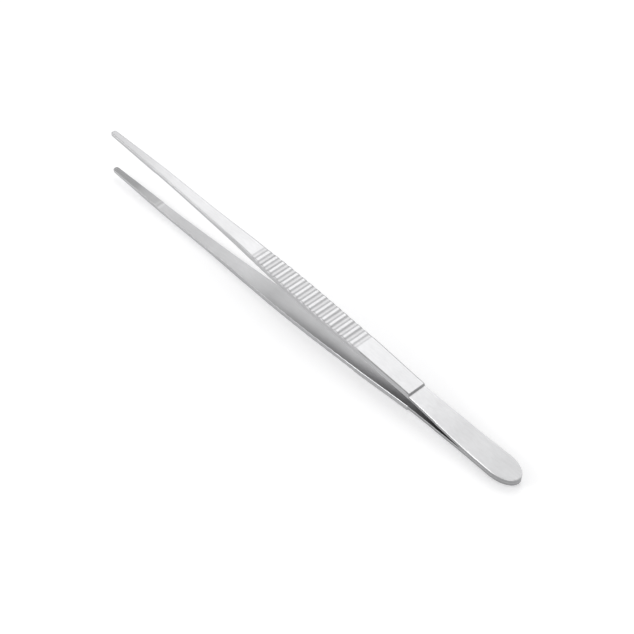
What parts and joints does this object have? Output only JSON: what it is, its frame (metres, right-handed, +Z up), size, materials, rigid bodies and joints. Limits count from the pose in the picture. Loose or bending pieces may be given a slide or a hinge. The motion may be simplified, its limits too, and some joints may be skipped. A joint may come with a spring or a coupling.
{
  "type": "thumb forceps",
  "caption": "Long thumb forceps: sprung steel arms welded at a rounded butt, with ribbed finger grips, a stepped shoulder and serrated jaw tips.",
  "frame": {"origin": "on the table, under the middle of the bounding box", "axes": "+X along the forceps from the jaw tips to the butt, +Y across the arms, +Z up, the way the arms open"},
  "size_m": [0.3004, 0.0146, 0.0326],
  "materials": {
    "satin_steel": "satin, finely brushed along the arms"
  },
  "bodies": {
    "root": {"upper_arm": "satin_steel", "lower_arm": "satin_steel"}
  },
  "joints": []
}
